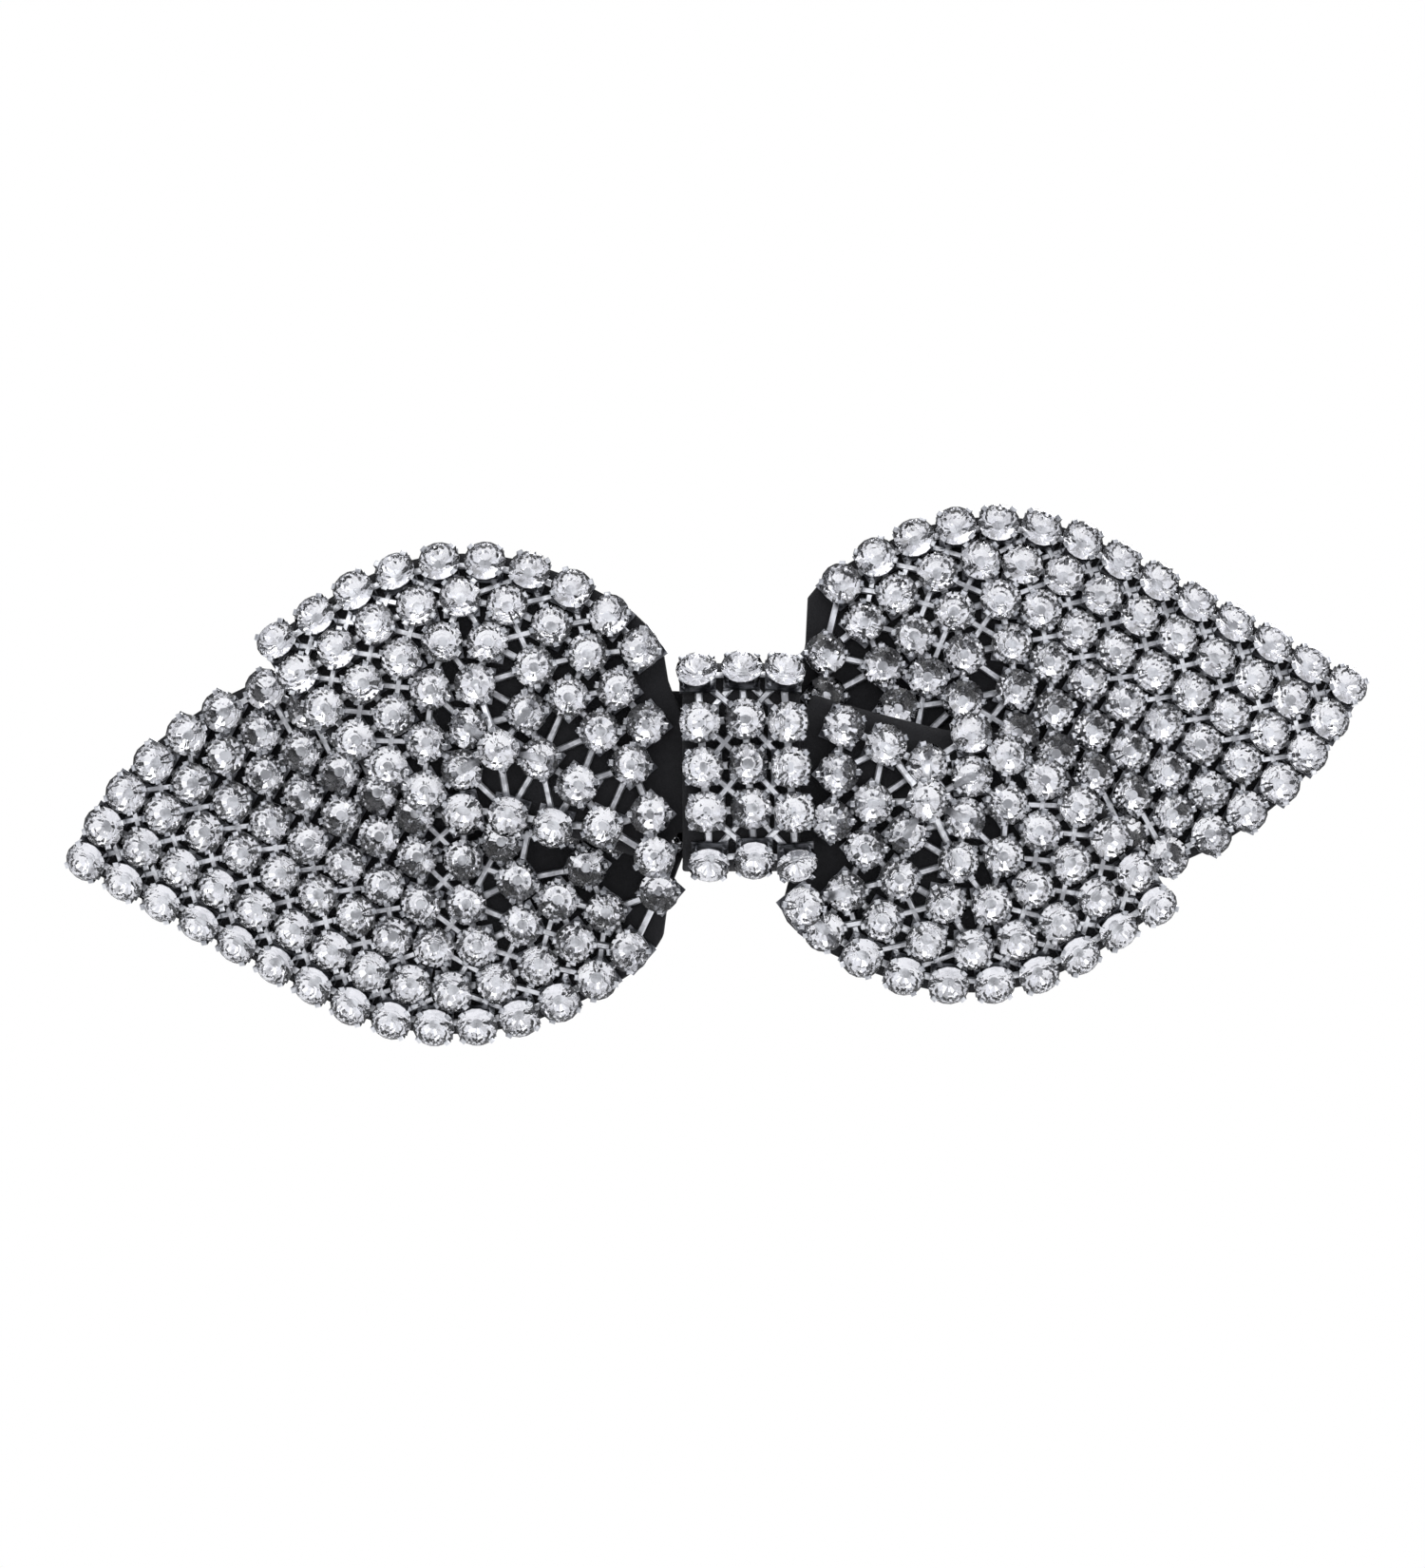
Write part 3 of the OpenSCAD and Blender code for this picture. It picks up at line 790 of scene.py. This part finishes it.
@dataclass
class KnotBand:
    """The felt band that wraps the waist and carries the knot's stones."""

    voxel_size: float = 0.24 * MM
    smoothings: int = 2

    def build(self, finishes: dict[str, bpy.types.Material]) -> list[bpy.types.Object]:
        """Softens the band's edges and mats its surface."""
        mesh = voxel(merged_copy("knot_band"), self.voxel_size)
        for _ in range(self.smoothings):
            bmesh.ops.smooth_vert(mesh, verts=mesh.verts, factor=0.5, use_axis_x=True,
                                  use_axis_y=True, use_axis_z=True)
        ruffle(mesh, 0.03 * MM, 0.03 * MM)
        area = sum(face.calc_area() for face in mesh.faces) / 2
        piece = settle(mesh, "knot_felt", finishes["backing_felt"])
        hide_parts("knot_band")
        return [piece]


@dataclass
class Pads:
    """Two felt pads under the ribbons, pulled in where the thread crosses them."""

    stitches: tuple[float, ...] = (-21 * MM, -13 * MM, 13 * MM, 21 * MM)
    pull: float = 0.22 * MM
    reach: float = 0.9 * MM
    voxel_size: float = 0.24 * MM
    smoothings: int = 4

    def build(self, finishes: dict[str, bpy.types.Material]) -> list[bpy.types.Object]:
        """Rounds the pads and sinks a channel along each stitch."""
        mesh = voxel(merged_copy("backing_pads"), self.voxel_size)
        for _ in range(self.smoothings):
            bmesh.ops.smooth_vert(mesh, verts=mesh.verts, factor=0.5, use_axis_x=True,
                                  use_axis_y=True, use_axis_z=True)
        ruffle(mesh, 0.04 * MM, 0.04 * MM)
        for vert in mesh.verts:
            near = min(abs(vert.co.x - x) for x in self.stitches)
            vert.co -= vert.normal * self.pull * math.exp(-((near / self.reach) ** 2))
        piece = settle(mesh, "felt_pads", finishes["pad_felt"])
        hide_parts("backing_pads")
        return [piece]


@dataclass
class SewingThread:
    """Waxed two-ply thread, wound three times round the plate at each stitch."""

    turns: int = 3
    spacing: float = 0.2 * MM
    ply: float = 0.062 * MM
    twist: float = 0.62 * MM
    step: float = 0.1 * MM

    def build(self, finishes: dict[str, bpy.types.Material]) -> list[bpy.types.Object]:
        """Winds each stitch where the CAD has its loop."""
        data = bpy.data.curves.new("thread", "CURVE")
        data.dimensions = "3D"
        data.bevel_depth = self.ply
        data.bevel_resolution = 0
        for points in islands("thread_loops"):
            self.wind(data, points.min(0), points.max(0))
        holder = bpy.data.objects.new("thread", data)
        bpy.context.scene.collection.objects.link(holder)
        graph = bpy.context.evaluated_depsgraph_get()
        mesh = bmesh.new()
        mesh.from_mesh(holder.evaluated_get(graph).to_mesh())
        bpy.data.objects.remove(holder)
        piece = settle(mesh, "sewing_thread", finishes["thread"])
        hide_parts("thread_loops")
        return [piece]

    def wind(self, data: bpy.types.Curve, low: np.ndarray, high: np.ndarray) -> None:
        """Adds the plies of one stitch.

        Args:
            data: the curve they go in.
            low: the loop's lowest corner.
            high: its highest corner.
        """
        x = (low[0] + high[0]) / 2
        half = np.array([high[1] - low[1], high[2] - low[2]]) / 2 - 0.2 * MM
        middle = np.array([high[1] + low[1], high[2] + low[2]]) / 2
        corner = 0.25 * MM
        sides = [(1, 0), (0, 1), (-1, 0), (0, -1)]
        route = []
        for k, (a, b) in enumerate(sides):
            c, d = sides[(k + 1) % 4]
            start = np.array([a, b]) * half - np.array([c, d]) * (half - corner)
            end = np.array([a, b]) * half + np.array([c, d]) * (half - corner)
            count = max(2, int(np.linalg.norm(end - start) / self.step))
            route += [start + (end - start) * t for t in np.linspace(0, 1, count)]
            pivot = end - np.array([a, b]) * corner
            route += [pivot + corner * (np.array([a, b]) * math.cos(t) + np.array([c, d]) * math.sin(t))
                      for t in (0.4, 0.8, 1.2)]
        route = np.array(route)
        along = np.concatenate([[0], np.cumsum(np.linalg.norm(np.diff(route, axis=0), axis=1))])
        angle = np.arctan2(route[:, 1], route[:, 0])
        for turn in range(self.turns):
            shift = (turn - (self.turns - 1) / 2) * self.spacing
            for ply in (0, math.pi):
                phase = along / self.twist * 2 * math.pi + ply + turn
                spline = data.splines.new("POLY")
                spline.points.add(len(route) - 1)
                spline.use_cyclic_u = True
                for point, place, turned, way in zip(spline.points, route, phase, angle):
                    out = 1 + self.ply * math.sin(turned) / max(np.linalg.norm(place), MM)
                    drift = 0.04 * MM * math.sin(3 * way + turn)
                    point.co = (x + shift + drift + self.ply * math.cos(turned),
                                middle[0] + place[0] * out, middle[1] + place[1] * out, 1.0)


# ---------------------------------------------------------------- studio


@dataclass
class Studio:
    """Camera, soft lights, floor and surroundings."""

    distance: float = 1.2
    width: float = 0.12245
    aim: tuple[float, float, float] = (-0.00037, -0.0125, -0.00094)
    floor_z: float = -0.11

    def build(self) -> None:
        """Sets up the studio."""
        self.add_camera()
        self.add_floor()
        self.add_world()
        self.add_light("key", (-0.35, -0.75, 0.55), 0.6, 0.9)
        self.add_light("fill", (0.65, -0.6, 0.1), 0.5, 0.5)
        self.add_light("top", (0.05, -0.1, 0.8), 0.5, 1.0)
        self.add_light("back", (0.2, 0.7, 0.35), 0.5, 4.0)
        bpy.context.scene.view_settings.view_transform = "Standard"

    def add_camera(self) -> None:
        """A long lens square on to the stones."""
        data = bpy.data.cameras.new("camera")
        data.sensor_fit = "HORIZONTAL"
        data.sensor_width = 36.0
        data.lens = 36.0 * self.distance / self.width
        data.clip_start = 0.01
        camera = bpy.data.objects.new("camera", data)
        camera.location = Vector(self.aim) + Vector((0, -self.distance, 0))
        camera.rotation_euler = (math.pi / 2, 0, 0)
        bpy.context.scene.collection.objects.link(camera)
        bpy.context.scene.camera = camera

    def add_floor(self) -> None:
        """A plain pale round floor below the clip."""
        mesh = bmesh.new()
        bmesh.ops.create_circle(mesh, cap_ends=True, segments=96, radius=0.45,
                                matrix=Matrix.Translation((0, 0, self.floor_z)))
        data = bpy.data.meshes.new("floor")
        mesh.to_mesh(data)
        mesh.free()
        floor = bpy.data.objects.new("floor", data)
        bpy.context.scene.collection.objects.link(floor)
        material, tree, shader = new_material("floor")
        coord = tree.add("TexCoord")
        soft = tree.add("TexNoise", Scale=30.0)
        tree.link(coord.outputs["Object"], soft.inputs["Vector"])
        tree.link(tree.mix(soft.outputs["Fac"], (0.86, 0.86, 0.86, 1), (0.9, 0.9, 0.9, 1)),
                  shader.inputs["Base Color"])
        shader.inputs["Roughness"].default_value = 0.8
        data.materials.append(material)

    def add_world(self) -> None:
        """White to the eye; to the stones, a room of pale and dark patches."""
        world = bpy.data.worlds.new("studio")
        world.use_nodes = True
        bpy.context.scene.world = world
        tree = Tree(world.node_tree)
        coord = tree.add("TexCoord")
        patch = tree.add("TexNoise", Scale=2.6, Detail=2.0, Roughness=0.6)
        tree.link(coord.outputs["Generated"], patch.inputs["Vector"])
        ramp = tree.add("ValToRGB")
        ramp.color_ramp.elements[0].position = 0.36
        ramp.color_ramp.elements[0].color = (0.3, 0.3, 0.31, 1)
        ramp.color_ramp.elements[1].position = 0.58
        ramp.color_ramp.elements[1].color = (0.74, 0.75, 0.8, 1)
        tree.link(patch.outputs["Fac"], ramp.inputs["Fac"])
        room = tree.add("Background", Strength=1.22)
        tree.link(ramp.outputs["Color"], room.inputs["Color"])
        white = tree.add("Background", Color=(1, 1, 1, 1), Strength=1.0)
        path = tree.add("LightPath")
        mix = tree.add("MixShader")
        tree.link(path.outputs["Is Camera Ray"], mix.inputs["Fac"])
        tree.link(room.outputs[0], mix.inputs[1])
        tree.link(white.outputs[0], mix.inputs[2])
        out = tree.add("OutputWorld")
        tree.link(mix.outputs[0], out.inputs["Surface"])

    def add_light(self, name: str, place: tuple[float, float, float], size: float,
                  power: float) -> None:
        """Adds a soft square light that faces the clip.

        Args:
            name: the light's name.
            place: its position.
            size: its side.
            power: its power in watts.
        """
        data = bpy.data.lights.new(name, "AREA")
        data.shape = "SQUARE"
        data.size = size
        data.energy = power
        light = bpy.data.objects.new(name, data)
        light.location = place
        light.rotation_euler = (-Vector(place)).to_track_quat("-Z", "Y").to_euler()
        light.visible_camera = False
        bpy.context.scene.collection.objects.link(light)


def main() -> None:
    """Builds the studio, then each sub-assembly in order."""
    logging.basicConfig(level=logging.INFO)
    Studio().build()
    finishes = {f.name: f.build() for f in (PLATE, BAR, SPRING, RIVET, CUP, PAINTED_CUP_SHADE, NET, CRYSTAL, FOIL, FELT,
                                            PAD, THREAD)}
    parts = [Barrette(), FeltRibbon("rear_backing", 27.2 * MM), FeltRibbon("front_backing", 23.7 * MM),
             KnotBand(), Pads(), SewingThread()]
    parts += [StoneField(name, seed) for seed, name in enumerate(
        ("rear_right", "rear_left", "front_right", "front_left", "knot"))]
    for part in parts:
        for piece in part.build(finishes):
            LOG.info("%s: %d faces", piece.name, len(piece.data.polygons))


if __name__ == "__main__":
    main()
